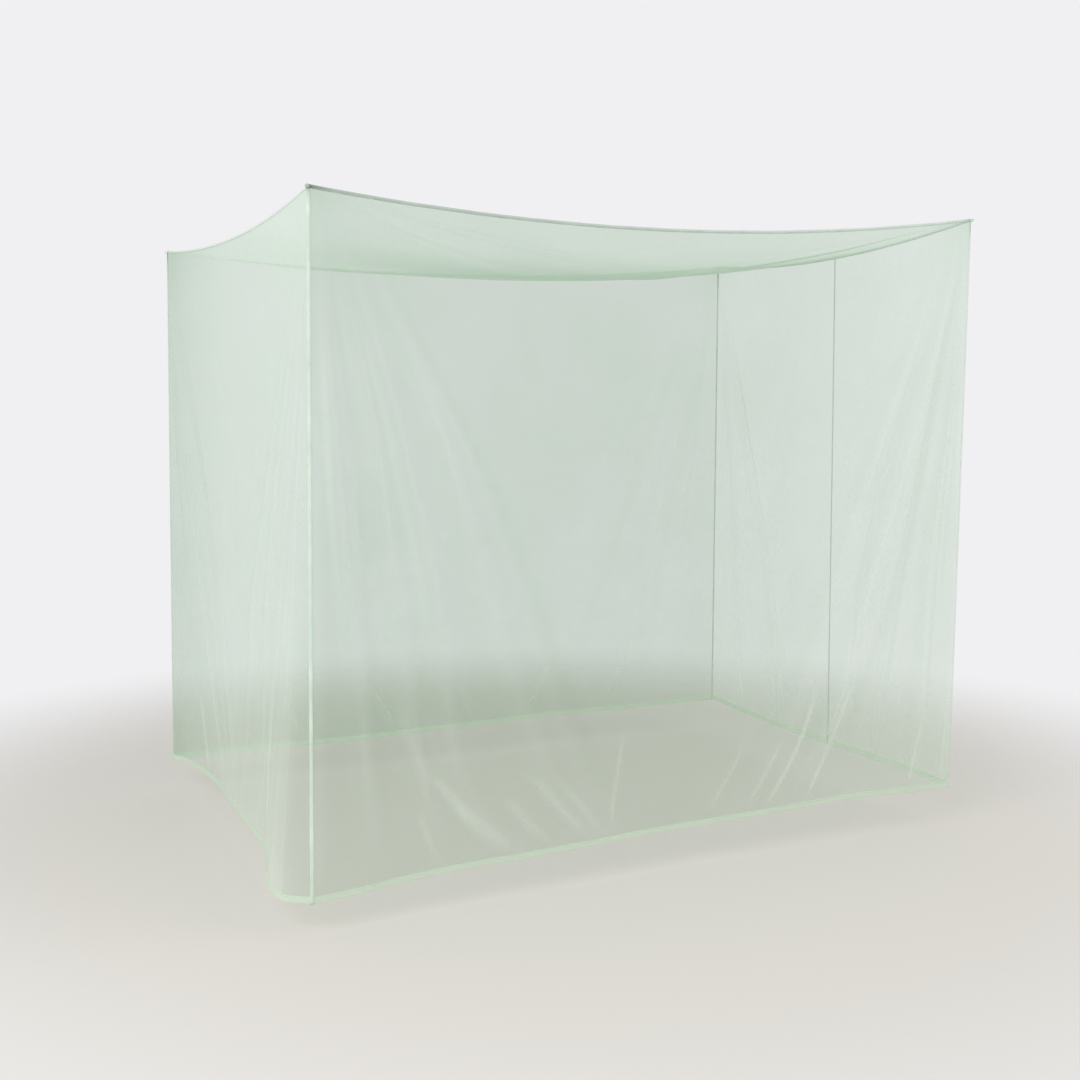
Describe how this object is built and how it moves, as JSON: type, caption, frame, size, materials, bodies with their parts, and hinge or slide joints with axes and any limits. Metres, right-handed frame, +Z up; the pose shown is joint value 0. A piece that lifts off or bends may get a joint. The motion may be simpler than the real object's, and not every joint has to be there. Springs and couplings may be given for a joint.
{
  "type": "mosquito net canopy",
  "caption": "Sheer box-shaped mosquito net with a roof and hemmed walls, hung by its top corners over a single bed and open underneath.",
  "frame": {"origin": "middle of the footprint, level with the lowest point of the hem", "axes": "+X along the long side, to the right seen from the front; +Y to the back; +Z up"},
  "size_m": [2.2339, 1.5229, 1.8042],
  "materials": {
    "net_cloth": "sheer knitted polyester net, matt, with a faint sheen along the folds",
    "binding_tape": "woven polyester tape, matt, stitched"
  },
  "bodies": {
    "root": {"roof_panel": "net_cloth", "front_wall": "net_cloth", "back_wall": "net_cloth", "left_wall": "net_cloth", "right_wall_front_cloth": "net_cloth", "right_wall_back_cloth": "net_cloth", "front_roof_binding": "binding_tape", "right_roof_binding": "binding_tape", "back_roof_binding": "binding_tape", "left_roof_binding": "binding_tape", "front_left_corner_tape": "binding_tape", "front_right_corner_tape": "binding_tape", "back_right_corner_tape": "binding_tape", "back_left_corner_tape": "binding_tape", "right_wall_seam_tape": "binding_tape", "front_left_tab": "binding_tape", "front_right_tab": "binding_tape", "back_right_tab": "binding_tape", "back_left_tab": "binding_tape"}
  },
  "joints": []
}
